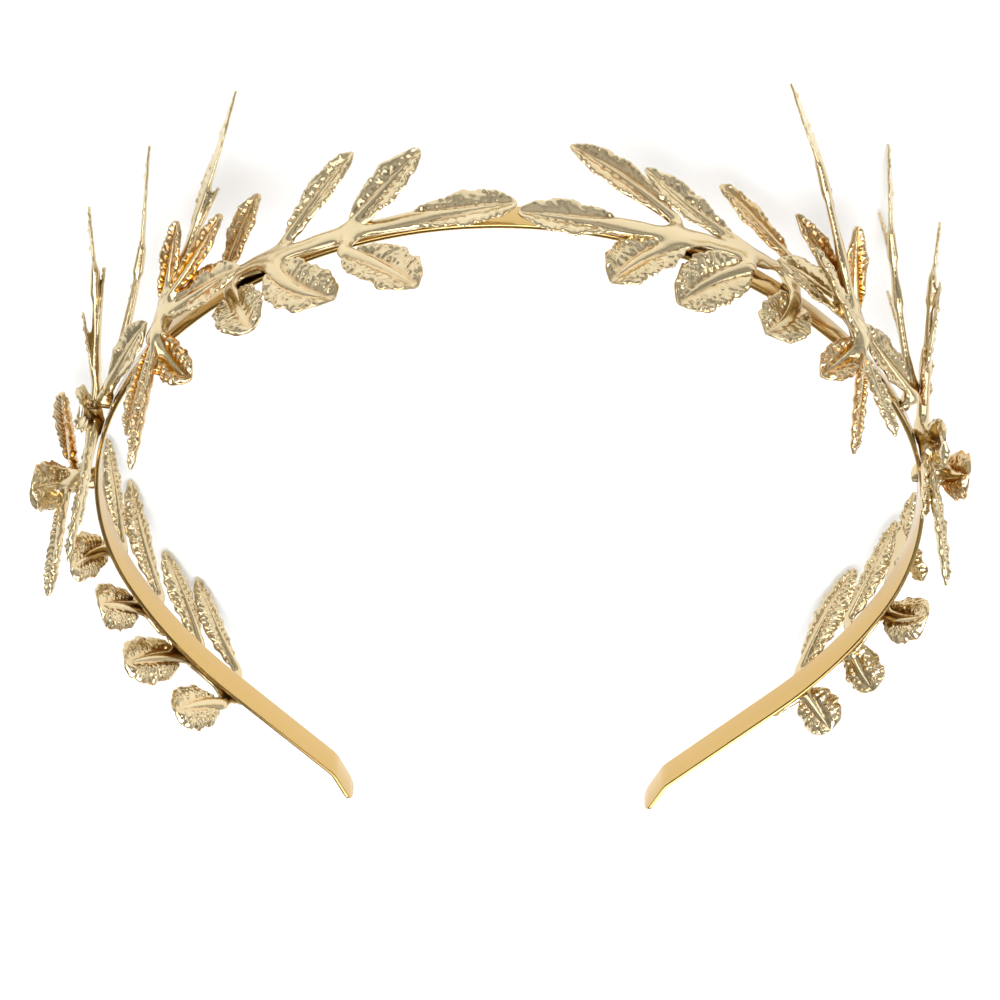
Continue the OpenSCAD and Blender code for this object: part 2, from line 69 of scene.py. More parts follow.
# A stem's path is either a curve along the band with three control rows of (share of the half
# band, height, distance outwards), or a free stem: such a row, a length, and the directions (rise,
# flare) of its two halves. Heights, distances and lengths are shares of a long leaf.
# A leaf's row: place on the stem, root height in half band heights, rise, flare, lean, bend,
# share of the length, share of the width, form.
TABLES = {
    "left_front_sprig": (((0.28, 0.05, 0), (0.185, -0.2, 0.06), (0.092, -0.12, 0.03)), (
        (1, 0, 5, 0, 15, -4, 0.9, 1.38, "long"),
        (0.68, 0.4, 25, 25, 20, 0, 0.93, 1.15, "long"),
        (0.35, 1.2, 25, 23, 20, 0, 0.98, 1, "long"),
        (0, 0.6, 35, 30, 20, 0, 0.76, 0.95, "long"),
        (0.7, -2.2, -44, -12, 0, 0, 1.15, 1.08, "round"),
        (0.3, -1.3, -44, -20, 0, 0, 1.1, 1.08, "round"),
        (0.06, -2, -68, -30, 0, 0, 0.85, 1, "round"))),
    "left_second_sprig": (((0.367, -0.1, 0.03), 1.37, (31, 18), (31, 23)), (
        (1, 0.2, 31, 25, -12, 0, 0.93, 0.8, "long"),
        (0.6, 0.6, 42, 25, -8, 0, 0.87, 0.9, "long"),
        (0.36, 1.2, 15, 16, -5, 0, 0.9, 0.9, "long"),
        (0.25, -1.5, -8, -6, 10, 0, 0.95, 1.35, "long"),
        (0.4, -1.5, 20, 10, 25, 0, 0.85, 0.8, "long"),
        (0.15, 0.5, 22, 33, 30, 0, 0.83, 0.85, "long"),
        (0.2, -3, -45, -157, 20, 0, 0.9, 0.85, "long"),
        (0.25, -4, -45, -150, 0, 0, 1.15, 0.7, "long"),
        (0.25, -3.9, -47, -70, 0, 0, 0.7, 0.75, "round"))),
    "left_third_sprig": (((0.465, 0.05, 0.03), 1.44, (31, 0), (31, 15)), (
        (1, 0.2, 31, 19, -5, 0, 0.93, 0.8, "long"),
        (0.38, 0.2, 40, 10, 0, 0, 0.93, 0.8, "long"),
        (0.2, -1.5, 4, -6, 30, 0, 0.77, 1.2, "long"))),
    "left_fourth_sprig": (((0.49, 0, 0.03), 1.4, (31, 17), (31, 20)), (
        (1, 0, 31, 24, 0, 0, 0.6, 0.8, "long"),
        (0.5, 0, 38, 12, 0, 0, 0.75, 0.8, "long"),
        (0.28, 0, 34, 32, 0, 0, 0.65, 0.8, "long"),
        (0.08, 1.6, 22, 18, 10, 0, 0.62, 0.9, "long"),
        (0.1, -0.6, -43, 20, 20, 0, 0.8, 0.85, "round"),
        (0, -0.5, -45, -170, 10, 0, 0.9, 0.9, "long"),
        (0, -1, -45, -173, 10, 0, 1.2, 0.9, "long"))),
    "left_side_sprig": (((0.55, -0.05, 0), 0.2, (-5, 90), (-5, 110)), (
        (1, 1.4, 8, 8, 25, 0, 0.78, 1.1, "long"),
        (1, -0.4, -46, 54, 0, 0, 0.67, 0.9, "round"),
        (1, -2, -45, 176, 35, 0, 0.9, 0.9, "long"))),
    "left_rear_sprig": (((0.747, 0, 0), (0.69, 0.25, 0.08), (0.64, 0.27, 0.05)), (
        (0.7, 1.4, 35, -10, -20, 0, 1.05, 0.8, "long"),
        (0.1, 2.2, 35, -11, -20, 0, 1.15, 0.9, "long"),
        (0.9, -1, -60, 20, 0, 0, 1, 0.95, "round"),
        (0.3, -1.3, -41, 6, 0, 0, 0.9, 1, "round"))),
    "left_end_sprig": (((0.865, 0, 0), (0.815, 0.1, 0.1), (0.77, 0.1, 0.05)), (
        (0.56, 1.8, 35, -10, -20, 0, 1, 0.9, "long"),
        (0.06, 2.2, 35, -11, -20, 0, 1, 0.9, "long"),
        (0.8, -0.9, -41, 20, 0, 0, 0.98, 1.05, "round"),
        (0.17, -1.8, -44, 7, 0, 0, 0.9, 1, "round"))),
    "right_front_sprig": (((0.262, 0.33, 0), (0.15, -0.05, 0.06), (0.087, -0.12, 0.03)), (
        (1, 0, -1, -2, 15, -4, 0.88, 1.25, "long"),
        (0.65, 1.7, 15, 12, 20, 0, 1.1, 1.1, "long"),
        (0.31, 1, 20, 6, 20, 0, 1, 1.05, "long"),
        (0, 1.5, 20, 7, 15, 0, 0.9, 0.95, "long"),
        (0.61, -0.9, -40, -26, 0, 0, 1.08, 1.08, "round"),
        (0.25, -1.6, -42, -29, 20, 0, 1.12, 1.08, "round"),
        (0, -3.2, -60, -35, 0, 0, 0.75, 1, "round"))),
    "right_second_sprig": (((0.342, -0.05, 0.05), 1.6, (28, 29), (28, 26)), (
        (1, 0, 28, 20, -10, 0, 0.77, 0.8, "long"),
        (0.57, 0.6, 36, 26, -8, 0, 0.95, 0.8, "long"),
        (0.2, -1.6, 2, -5, 10, 0, 0.95, 1.3, "long"),
        (0.15, -2.2, 18, 15, 0, 0, 0.9, 0.8, "long"),
        (0.12, 0.5, 20, 10, 25, 0, 1.06, 0.85, "long"),
        (0.02, 2.3, 20, 42, 30, 0, 0.82, 0.85, "long"),
        (0.1, -3, -42, -130, 0, 0, 0.88, 0.7, "long"),
        (0, -1.1, -40, -165, 15, 0, 0.8, 0.7, "long"),
        (0.1, -2, -50, -50, 0, 0, 0.8, 0.7, "round"))),
    "right_third_sprig": (((0.437, 0.35, 0.06), 1.4, (31, 13), (31, 20)), (
        (1, 0, 31, 23, -5, 0, 0.83, 0.8, "long"),
        (0.7, 0.7, 42, 9, -5, 0, 0.6, 0.8, "long"),
        (0.22, 1.2, 35, 5, -5, 0, 0.5, 0.8, "long"),
        (0, -0.9, 6, -10, 15, 0, 0.89, 1.2, "long"))),
    "right_fourth_sprig": (((0.475, 0.2, 0.03), 1.38, (31, 20), (31, 23)), (
        (1, 0, 31, 25, 0, 0, 0.53, 0.8, "long"),
        (0.54, -1, 35, 28, 0, 0, 0.7, 0.8, "long"),
        (0.1, 0.2, 24, 18, 20, 0, 0.61, 1, "long"),
        (0, -1, -55, 40, 20, 0, 0.7, 0.9, "round"),
        (0, -1.5, -45, -158, 10, 0, 0.7, 0.9, "long"),
        (0, -1.5, -45, -172, 10, 0, 1.33, 0.9, "long"))),
    "right_side_sprig": (((0.528, 0.2, 0), 0.16, (-5, 80), (-5, 95)), (
        (1, 0, -50, 43, 20, 0, 0.61, 0.95, "round"),)),
    "right_rear_sprig": (((0.737, 0, 0), (0.68, 0.25, 0.08), (0.635, 0.4, 0.05)), (
        (0.6, 1, 30, -8, -20, 0, 0.85, 0.8, "long"),
        (0, 2.6, 30, -4, -20, 0, 1.05, 0.9, "long"),
        (0.95, 1.2, -44, 130, 0, 0, 0.6, 0.6, "round"),
        (0.4, -0.8, -43, 16, 0, 0, 0.9, 1, "round"))),
    "right_end_sprig": (((0.85, 0, 0), (0.79, 0.3, 0.1), (0.74, 0.1, 0.05)), (
        (0.27, 1.4, 30, -10, -20, 0, 1.15, 1.1, "long"),
        (0.9, -0.3, -51, 100, 0, 0, 0.67, 0.95, "round"),
        (0.27, -0.8, -51, 82, 0, 0, 0.65, 1, "round")))}

Leaf = namedtuple("Leaf", "at root rise flare lean bend length width form key")
Sprig = namedtuple("Sprig", "side path leaves zone")
SPRIGS = {}
for number, (name, (path, rows)) in enumerate(TABLES.items()):
    hand, zone = name.split("_")[:2]
    leaves = [Leaf(*row, 100*number + k) for k, row in enumerate(rows)]
    SPRIGS[name] = Sprig(-1 if hand == "left" else 1, path, leaves, zone)
# the sprigs that the crown lies on
RESTS = ("right_third_sprig", "left_rear_sprig", "left_end_sprig")

# Single leaves, by their key of 100*sprig + row: sway of the midrib as a share of the length, blades
# wider than in the solid, and share of the painted warm reflection (orange bounce light painted into the
# colour)
SWAY = {4: -0.12, 5: 0.4, 704: 0.3, 705: 0.22}
BROAD = {400: 1.3, 401: 1.1}
PAINTED_REFLECTION_SHARE = {3: 0.5, 104: 1, 105: 1, 106: 0.9, 107: 0.5, 108: 1, 303: 0.5, 400: 1, 701: 0.25, 703: 0.5,
        804: 0.8, 805: 1, 806: 0.7, 808: 0.7, 1002: 0.7, 1100: 0.8}

# Half widths along a blade: of the solids, of the leaves here, and of the midribs
SOLID_LONG = ((0, 0.25), (0.25, 0.75), (0.52, 1), (0.8, 0.7), (1, 0.1))
SOLID_ROUND = ((0, 0.2), (0.22, 0.85), (0.5, 1), (0.82, 0.78), (1, 0.2))
LONG = ((0, 0.34), (0.07, 0.56), (0.25, 0.82), (0.5, 1), (0.66, 0.95), (0.8, 0.75), (0.91, 0.5),
        (0.97, 0.3), (1, 0.1))
LANCE = ((0, 0.34), (0.1, 0.6), (0.3, 0.94), (0.5, 1), (0.7, 0.86), (0.85, 0.56), (0.95, 0.28),
         (1, 0.12))
ROUND = ((0, 0.4), (0.06, 0.66), (0.2, 0.9), (0.42, 1), (0.6, 0.99), (0.75, 0.9), (0.86, 0.74),
         (0.95, 0.46), (1, 0.14))
RIB_LONG = ((0, 0.33), (0.25, 0.25), (0.5, 0.17), (0.75, 0.11), (0.9, 0.07), (1, 0.04))
RIB_ROUND = ((0, 0.26), (0.25, 0.22), (0.5, 0.17), (0.75, 0.12), (0.9, 0.07), (1, 0.04))

# The two forms of leaf: length, width, outline of the solid, midrib, widest sway, and how far the
# corners by the root reach back
Form = namedtuple("Form", "length width solid rib sway heel")
FORMS = {
    "long": Form(LEAF_LEN, LEAF_W, SOLID_LONG, RIB_LONG, 0.16, 0.05),
    "round": Form(ROUND_LEN, ROUND_W, SOLID_ROUND, RIB_ROUND, 0.3, 0.07)}

# How a leaf is chased. Its blade: outline, cup, lobes a side, their height, dome of either half,
# share of the midrib's ridge, ruffle, depth of the cuts between lobes and beads in the margin. Its
# beads and pits: rows of beads across the blade, share of the beads there, share of those on the
# margin, depth of the pits. Its mesh: rows along the blade, columns on the seen and the hidden face.
Chasing = namedtuple("Chasing", "outline cup lobes lobe_up dome ridge ruffle lobe_cut bead_cut "
                     "bead_rows row_share rim_share pit rows seen hidden")
CHASED = {
    "long": Chasing(LONG, 0.22, 6, 0.1, 0.3, 1, 0.2, 0.08, 0.06, (0.55,), 0.15, 0.7, 0.3, 100, 31, 13),
    "round": Chasing(ROUND, 0.22, 5, 0.1, 0.42, 1, 0.32, 0.1, 0.07,
                     (0.42, 0.58, 0.74), 0.8, 0.95, 0.1, 80, 39, 15),
    "plain": Chasing(LONG, 0.2, 6, 0.06, 0.3, 1, 0.2, 0.08, 0.06,
                     (0.4, 0.65), 0.2, 0.4, 0.08, 100, 31, 13),
    "zip": Chasing(LONG, 0.2, 13, 0.22, 0.3, 1, 0.2, 0.08, 0.06, (), 0, 0.4, 0.4, 110, 29, 13),
    "tall": Chasing(LANCE, 0.08, 9, 0.06, 0.05, 0.5, 0.05, 0.04, 0.03, (), 0, 0.2, 0.1, 64, 15, 15)}

# Stems by zone: share of the width, share of it left at the tip, and size of the fillets
Stem = namedtuple("Stem", "wide thin soft")
STEMS = {"front": Stem(1.4, 0.8, 2.4), "second": Stem(0.95, 0.55, 1.8), "third": Stem(0.6, 0.5, 1.5),
         "fourth": Stem(0.75, 0.5, 1.8), "side": Stem(1.8, 0.9, 2.6), "rear": Stem(1.7, 0.85, 2.2),
         "end": Stem(1.7, 0.85, 2.2)}
# zones whose leaves show the face that looks at the head
INWARD = ("rear", "end", "side")

SKIN_T, RIM_T = 0.2, 0.06  # half thickness of a blade and of its margin
CLEAR = 0.1  # room between the band and what stands on it
EDGE_R = 0.16  # radius of the band's edges
EVEN = 0.02  # a smaller bend is left out


# Places on the band and on the stems
def unit(v):
    v = np.asarray(v, float)
    return v/np.linalg.norm(v)


def square_to(v, d):
    """What of v is square to the unit direction d, at unit length."""
    return unit(np.asarray(v, float) - np.dot(v, d)*np.asarray(d))


def half_at(s):
    """Inner point and direction of the right half of the band at the length s."""
    p, i = np.zeros(2), 0
    while True:
        a0 = TURNS[i]
        if i == len(BOWS):
            return p + (s - RUNS[i])*np.array([math.cos(a0), math.sin(a0)]), a0
        radius = BOWS[i][0]
        a1 = min(TURNS[i + 1], a0 + (s - RUNS[i])/radius)
        p = p + radius*np.array([math.sin(a1) - math.sin(a0), math.cos(a0) - math.cos(a1)])
        if s <= RUNS[i + 1]:
            return p, a1
        i += 1


def station(side, s):
    """Inner point, forward direction and outward direction of a side at the length s."""
    p, a = half_at(s)
    c, n = math.cos(a), math.sin(a)
    return np.array([side*p[0], p[1], 0]), np.array([-side*c, -n, 0]), np.array([side*n, -c, 0])


def place(side, share, h, out):
    """Middle of a stem that stands off the band."""
    p, f, n = station(side, share*HALF)
    return p + np.array([0, 0, h]) + n*(BAND_T + GAP + STEM_T/2 + out)


def bezier(p, t):
    """Point at the share t of a curve with three control points."""
    p = [np.asarray(q, float) for q in p]
    return (1 - t)**2*p[0] + 2*t*(1 - t)*p[1] + t*t*p[2]


def aim(side, s, rise, flare):
    """Direction of the given rise and flare, from forwards along the band."""
    p, f, n = station(side, s)
    rise, flare = math.radians(rise), math.radians(flare)
    level = math.cos(flare)*f + math.sin(flare)*n
    return math.cos(rise)*level + np.array([0, 0, math.sin(rise)])


def stands_free(path):
    return len(path) == 4


def s_at(path, t):
    """Length along the band at the share t of a stem."""
    return HALF*(path[0][0] if stands_free(path) else bezier(path, t)[0])


def stem_at(sprig, t):
    """Point at the share t of a stem's middle line."""
    side, path = sprig.side, sprig.path
    if stands_free(path):
        (share, h, out), length, first, last = path
        s = s_at(path, 0)
        a = place(side, share, h*LEAF_LEN, out*LEAF_LEN)
        b = a + length*LEAF_LEN/2*aim(side, s, *first)
        return bezier((a, b, b + length*LEAF_LEN/2*aim(side, s, *last)), t)
    share, h, out = bezier(path, t)
    return place(side, share, h*LEAF_LEN, out*LEAF_LEN)


def stem_dir(sprig, t):
    return unit(stem_at(sprig, min(1, t + 0.01)) - stem_at(sprig, t - 0.01))


def stem_face(sprig, t):
    """Direction that the broad side of a stem looks in, away from the head."""
    return square_to(station(sprig.side, s_at(sprig.path, t))[2], stem_dir(sprig, t))


def leaf_frame(sprig, r):
    """Root of a leaf, its direction and the direction that its face looks in."""
    s = s_at(sprig.path, r.at)
    along = aim(sprig.side, s, r.rise, r.flare)
    lean = math.radians(r.lean)
    outward = math.cos(lean)*station(sprig.side, s)[2] - np.array([0, 0, math.sin(lean)])
    return stem_at(sprig, r.at) + np.array([0, 0, r.root*BAND_W/2]), along, square_to(outward, along)


def leaf_size(r):
    """Length and width of a leaf."""
    form = FORMS[r.form]
    return r.length*form.length, r.width*form.width


def sway_of(r):
    """Sway of a leaf's midrib, drawn at random by its key unless SWAY has it."""
    most = FORMS[r.form].sway
    return SWAY.get(r.key, np.random.default_rng(r.key).uniform(-most, most))


def on_blade(r, x, y, z, sway=0):
    """Leaf coordinates with the sway across the blade and the bend along it."""
    L = leaf_size(r)[0]
    a = math.radians(r.bend)
    u = x/L
    y = y + sway*L*(u*u - u)
    if abs(a) > EVEN:
        x, z = L*np.sin(a*u)/a - z*np.sin(a*u), L*(1 - np.cos(a*u))/a + z*np.cos(a*u)
    return np.stack(np.broadcast_arrays(x, y, z), -1)


def in_place(q, sprig, r):
    """Leaf coordinates to the crown's frame."""
    root, along, facing = leaf_frame(sprig, r)
    return root + q[..., :1]*along + q[..., 1:2]*np.cross(facing, along) + q[..., 2:]*facing


# Lying down
def solid_points(sprig):
    """Points of a sprig's leaves as the solids have them."""
    out = []
    v, rib = np.array([(-1, 0), (-0.22, 0.2), (0, 1), (0.22, 0.2), (1, 0)]).T[..., None]
    faces = np.array([LEAF_T/2, -LEAF_T/2])
    for r in sprig.leaves:
        L, w = leaf_size(r)
        u, half = np.array(FORMS[r.form].solid).T[..., None, None]
        hw = half*w/2
        high = CUP*hw*v*v + rib*RIB_H*np.minimum(1, 2.2 - 2*u) + faces
        out.append(in_place(on_blade(r, u*L, v*hw, high), sprig, r).reshape(-1, 3))
    return np.concatenate(out)


def past_the_end(x=0.0, part=1.0):
    """Inner point and outward direction past the right straight end: after a share of the outward
    bend, and then x along the tip."""
    p, a = half_at(HALF)
    c = p + (BAND_T + BEND_R)*np.array([math.sin(a), -math.cos(a)])
    a = a - math.radians(BEND_A)*part
    fwd, out = np.array([math.cos(a), math.sin(a)]), np.array([math.sin(a), -math.cos(a)])
    return np.append(c - (BEND_R + BAND_T)*out + x*fwd, 0), np.append(out, 0)


def resting():
    """Turn and move that lay the crown down on its three lowest leaves."""
    feet = [max(solid_points(SPRIGS[name]), key=lambda q: 0.1*q[1] + q[2]) for name in RESTS]
    down = unit(np.cross(feet[1] - feet[0], feet[2] - feet[0]))
    down = down*np.sign(down[2])
    right = square_to([1, 0, 0], down)
    turn = np.array([right, np.cross(-down, right), -down])
    end = past_the_end(TIP_RUN)[0]
    high = BAND_W/2 - TIP_CORNER
    corners = [[i*end[0], end[1], k*high] for i in (-1, 1) for k in (-1, 1)]
    pts = np.concatenate([solid_points(g) for g in SPRIGS.values()] + [corners])@turn.T
    low, top = pts.min(0), pts.max(0)
    return turn, np.array([-(low[0] + top[0])/2, -(low[1] + top[1])/2, -low[2]])


TURN, MOVE = resting()


def at_rest(points):
    """Crown frame in millimetres to the row's frame in metres."""
    return (np.asarray(points, float)@TURN.T + MOVE)/1000


# Meshes
STATIONS = [station(side, s) for side in (-1, 1) for s in np.arange(0, HALF + 0.1, 0.7)]
BAND_AT = np.array([p[:2] for p, f, n in STATIONS])
BAND_OUT = np.array([n[:2] for p, f, n in STATIONS])


def off_the_band(co):
    """Moves what would touch the band just clear of its outer face."""
    level = np.where(np.abs(co[:, 2]) < BAND_W/2 + CLEAR/2)[0]
    for i in np.array_split(level, 40):
        gap = co[i, None, :2] - BAND_AT
        k = np.argmin((gap**2).sum(-1), 1)
        far = (gap[np.arange(len(i)), k]*BAND_OUT[k]).sum(-1)
        move = np.where((far > -4) & (far < BAND_T + CLEAR), BAND_T + CLEAR - far, 0)
        co[i, :2] += BAND_OUT[k]*move[:, None]
    return co


class Shell:
    """Closed skins gathered into one mesh, with a painted warm reflection tone at each point."""

    def __init__(self):
        self.co, self.faces, self.uv, self.painted_reflection = [], [], [], []
        self.n = 0

    def tube(self, rings, uvs, painted_reflection=None):
        """A grid of points that closes round on itself, with a cap on either end."""
        rings, uvs = np.asarray(rings, float), np.asarray(uvs, float)
        painted_reflection = np.zeros(rings.shape[:2]) if painted_reflection is None else painted_reflection
        self.painted_reflection += [painted_reflection.ravel(), painted_reflection[[0, -1]].mean(1)]
        m, k = rings.shape[:2]
        base = self.n
        i, j = np.meshgrid(np.arange(m - 1), np.arange(k), indexing="ij")
        a = base + i*k + j
        b = base + i*k + (j + 1) % k
        self.faces += np.stack([a, b, b + k, a + k], -1).reshape(-1, 4).tolist()
        self.co.append(rings.reshape(-1, 3))
        self.uv.append(uvs.reshape(-1, 2))
        self.n += m*k
        for row, flip in ((0, True), (m - 1, False)):
            self.co.append(rings[row].mean(0)[None])
            self.uv.append(uvs[row].mean(0)[None])
            for q in range(k):
                f = [base + row*k + q, base + row*k + (q + 1) % k, self.n]
                self.faces.append(f[::-1] if flip else f)
            self.n += 1

    def net(self, co, quads):
        """A ready mesh, such as a stem's skin."""
        self.faces += (quads + self.n).tolist()
        self.co.append(co)
        self.uv.append(co[:, [0, 2]]/40)
        # a faint painted warm reflection on the stems
        self.painted_reflection.append(np.full(len(co), 0.03))
        self.n += len(co)

    def mesh(self, name, clear=True):
        co = np.concatenate(self.co)
        co = at_rest(off_the_band(co) if clear else co)
        co = np.clip(co, cad_box[0], cad_box[1])
        me = bpy.data.meshes.new(name)
        me.from_pydata(co.tolist(), [], self.faces)
        uv = np.concatenate(self.uv)
        loops = np.zeros(len(me.loops), int)
        me.loops.foreach_get("vertex_index", loops)
        layer = me.uv_layers.new(name="UVMap")
        layer.data.foreach_set("uv", uv[loops].ravel())
        # the painted warm reflection tone, kept at each point for the material
        painted_reflection = me.attributes.new("painted_reflection", "FLOAT", "POINT")
        painted_reflection.data.foreach_set("value", np.concatenate(self.painted_reflection))
        me.polygons.foreach_set("use_smooth", [True]*len(me.polygons))
        me.validate()
        return me


def smooth_table(table, u):
    """A smooth cubic through the rows of a table."""
    x, y = np.array(table).T
    m = np.gradient(y, x)
    i = np.clip(np.searchsorted(x, u, side="right") - 1, 0, len(x) - 2)
    h = x[i + 1] - x[i]
    s = (u - x[i])/h
    return ((2*s**3 - 3*s**2 + 1)*y[i] + (s**3 - 2*s**2 + s)*h*m[i]
            + (-2*s**3 + 3*s**2)*y[i + 1] + (s**3 - s**2)*h*m[i + 1])


# Leaves
def chasing(sprig, r):
    """A leaf's row of CHASED, by its form, its zone and the way that it turns."""
    if r.form == "round":
        return CHASED["round"]
    if sprig.zone in INWARD or r.rise < -35:
        return CHASED["zip"]
    if sprig.zone != "front" and (r.lean < 0 or r.lean < 15 and r.rise > 20):
        return CHASED["tall"]
    return CHASED["plain" if sprig.zone != "front" and abs(r.rise) < 10 else "long"]


def march(at, end, step, L, rng, wider=1):
    """Places along a blade, a random step of millimetres apart."""
    while at < end:
        yield at
        at += rng.uniform(*step)*wider/L


def punched(u, hw, ribw, L, c, rng):
    """Pits by the midrib, beads on the margin and beads across the blade: place along the blade,
    place across it, radius, and depth (below 0) or share of the radius that it rises."""
    dots = []
    strong = rng.choice([-1, 1])  # the half with the deeper pits

    def row(at):
        return int(np.clip(np.searchsorted(u[:, 0], at), 1, len(u) - 1))

    for half in (-1, 1):
        for at in march(0.14, 0.86, (0.8, 1.2), L, rng, 1.6 if c.lobes < 9 else 1.1):
            across = half*(ribw[row(at), 0] + 0.5)
            radius = rng.uniform(0.24, 0.32)
            dots.append((at, across, radius, -c.pit*rng.uniform(0.6, 1.3)*(1 if half == strong else 0.2)))
        for at in march(u.min() + 0.03, 0.97, (0.85, 1.3), L, rng):
            if rng.uniform() < c.rim_share:
                across = half*(hw[row(at), 0]*0.93 - rng.uniform(0.15, 0.4))
                dots.append((at, across, rng.uniform(0.3, 0.42), rng.uniform(0.5, 0.85)))
        for share in c.bead_rows:
            for at in march(0.12, 0.9, (0.85, 1.35), L, rng):
                wide = hw[row(at), 0]
                if rng.uniform() < c.row_share and wide*share > ribw[row(at), 0] + 0.5:
                    across = half*wide*(share + rng.uniform(-0.05, 0.05))
                    dots.append((at, across, rng.uniform(0.26, 0.38), rng.uniform(0.55, 0.9)))
    return dots


def relief(u, v, hw, ribw, L, c, rng, beaded):
    """Height of one face of a blade: lobes, dome, ridge of the midrib, pits and beads."""
    slant = 0.15  # how far lobes lean towards the tip
    shift, phase, tall = rng.uniform(0, 1, 2), rng.uniform(0, 6.28, 4), rng.uniform(0.7, 1.25, 2)
    av, y = np.abs(v), v*hw
    out = np.clip((av*hw - ribw)/(hw - ribw + 1e-6), 0, 1)
    run = (u - slant*av*hw/hw.max())/(1 - slant)
    turn = c.lobes*run + np.where(v < 0, *shift) + 0.16*np.sin(15*u + np.where(v < 0, *phase[:2]))
    ends = np.clip((1 - u)/0.1, 0, 1)*np.clip((u - u.min())/0.06, 0, 1)
    pillow = (0.5 - 0.5*np.cos(2*np.pi*turn))**0.6*np.where(v < 0, *tall)
    z = c.lobe_up*(0.25 + pillow)*np.sin(np.pi*out**1.2)**0.75*ends
    z = z + c.dome*np.sin(np.pi*out**0.85)**0.85*ends
    ridge = np.interp(u, (0, 0.3, 1), (0.5, 0.36, 0.08))*c.ridge
    z = z + ridge*np.exp(-(np.maximum(av*hw - 0.75*ribw, 0)/0.26)**2)
    run = u[:, 0]*L
    for at, across, radius, up in punched(u, hw, ribw, L, c, rng) if beaded else []:
        near = slice(*np.searchsorted(run, [at*L - 1.8*radius, at*L + 1.8*radius]))
        far = ((u[near]*L - at*L)**2 + (y[near] - across)**2)/radius**2
        z[near] += up*radius*np.clip(1 - far/2.6, 0, 1)**1.5 if up > 0 else up*np.exp(-far)
    for wave in range(6):
        fx, fy, phase = rng.uniform(2, 5), rng.uniform(2, 5), rng.uniform(0, 6.28)
        z = z + 0.007*np.sin(fx*u*L + fy*y + phase)
    return z


def standing(z):
    """How far a face stands above what lies round each of its points."""
    p, (m, k) = np.pad(z, 4, mode="edge"), z.shape
    steps = (0, 2, 4, 6, 8)
    return z - sum(p[i:i + m, j:j + k] for i in steps for j in steps)/len(steps)**2


def leaf(shell, sprig, r):
    """One leaf, a closed skin with relief on both its faces."""
    rng = np.random.default_rng(r.key + 5000)
    form, c = FORMS[r.form], chasing(sprig, r)
    L, w = leaf_size(r)
    start = 0.1 if abs(r.root) < 2.4 and r.at < 0.97 else 0.03
    u = np.linspace(start, 1, c.rows)[:, None]
    hw = smooth_table(c.outline, (u - start)/(1 - start))*w/2*BROAD.get(r.key, 1)
    ribw = smooth_table(form.rib, u)*w/2
    phase, tilt = rng.uniform(0, 6.28, 4), rng.uniform(-0.1, 0.1)
    points, reflection_tones = [], []
    for face in (1, -1):
        seen = face == (-1 if sprig.zone in INWARD else 1) or sprig.zone == "side"
        t = np.linspace(-1, 1, c.seen if seen else c.hidden)
        v = (np.sign(t)*np.abs(t)**0.8)[None, :]
        lobed = np.sin(np.pi*(0.7*c.lobes*(u - 0.15*hw/hw.max())/0.85 + phase[0] + 0.5*np.sign(v)))**2
        beads = np.abs(np.sin(u*L*(2.1 + 0.25*np.sin(9*u + phase[3])) + phase[1] + 2*np.sign(v)))**0.7
        cut = (c.lobe_cut*lobed + c.bead_cut*beads)*np.sin(np.pi*np.clip(u, 0, 1))**0.4
        y = v*hw*(0.86 + cut)
        draws = np.random.default_rng(r.key*7 + (0 if face > 0 else 3))
        z = relief(u, v, hw, ribw, L, c, draws, seen)
        high = standing(z) if seen else 0*z
        z = SKIN_T + (1 if seen else 0.6)*z - (SKIN_T - RIM_T)*np.clip((np.abs(v) - 0.8)/0.2, 0, 1)**2
        ruffle = c.ruffle*np.sin(u*c.lobes*3.1 + phase[0] + phase[2]*np.sign(v))*v*v
        sheet = c.cup*hw*v*v + ruffle + tilt*y*np.sin(np.pi*u)
        x = u*L - form.heel*L*np.abs(v)**1.5*np.clip(1 - (u - start)/0.3, 0, 1)**2
        q = on_blade(r, x, y, sheet + face*z, sway_of(r))
        # painted warm reflection, standing in for light bounced between the gold parts: hollows get it,
        # and so does all of a leaf that has a share of it but what stands up, less so towards its tip
        painted_reflection = PAINTED_REFLECTION_SHARE.get(r.key, 0)*np.clip(1.35 - 1.1*u, 0, 1)*(1.1 - 0.4*v*v)
        painted_reflection = 0.3*np.clip(-7*high, 0, 1) + painted_reflection*(1 - 0.85*np.clip(8*high, 0, 1))
        points.append(q[:, ::face])
        reflection_tones.append(np.clip(painted_reflection, 0, 1)[:, ::face])
    P = in_place(np.concatenate(points, 1), sprig, r)
    m = P.shape[1]
    uv = np.stack([u + np.zeros((1, m)), np.linspace(0, 1, m)[None, :] + 0*u], -1)
    shell.tube(P[:, ::-1], uv[:, ::-1], np.concatenate(reflection_tones, 1)[:, ::-1])


# Stems
def smooth_min(a, b, k):
    """The smaller of two distances, rounded off by k where they are alike."""
    h = np.clip(0.5 + 0.5*(b - a)/k, 0, 1)
    return b*(1 - h) + a*h - k*h*(1 - h)


def evened(co, quads):
    """The points of a net, evened out a little without shrinking it."""
    ends = np.concatenate([quads[:, [i, (i + 1) % 4]] for i in range(4)])
    count = len(co)
    times = np.bincount(ends[:, 0], minlength=count) + np.bincount(ends[:, 1], minlength=count)
    for share in (0.5, -0.5, 0.5, -0.5):
        total = np.zeros_like(co)
        for i in range(3):
            total[:, i] = (np.bincount(ends[:, 0], co[ends[:, 1], i], count)
                           + np.bincount(ends[:, 1], co[ends[:, 0], i], count))
        co = co + share*(total/times[:, None] - co)
    return co


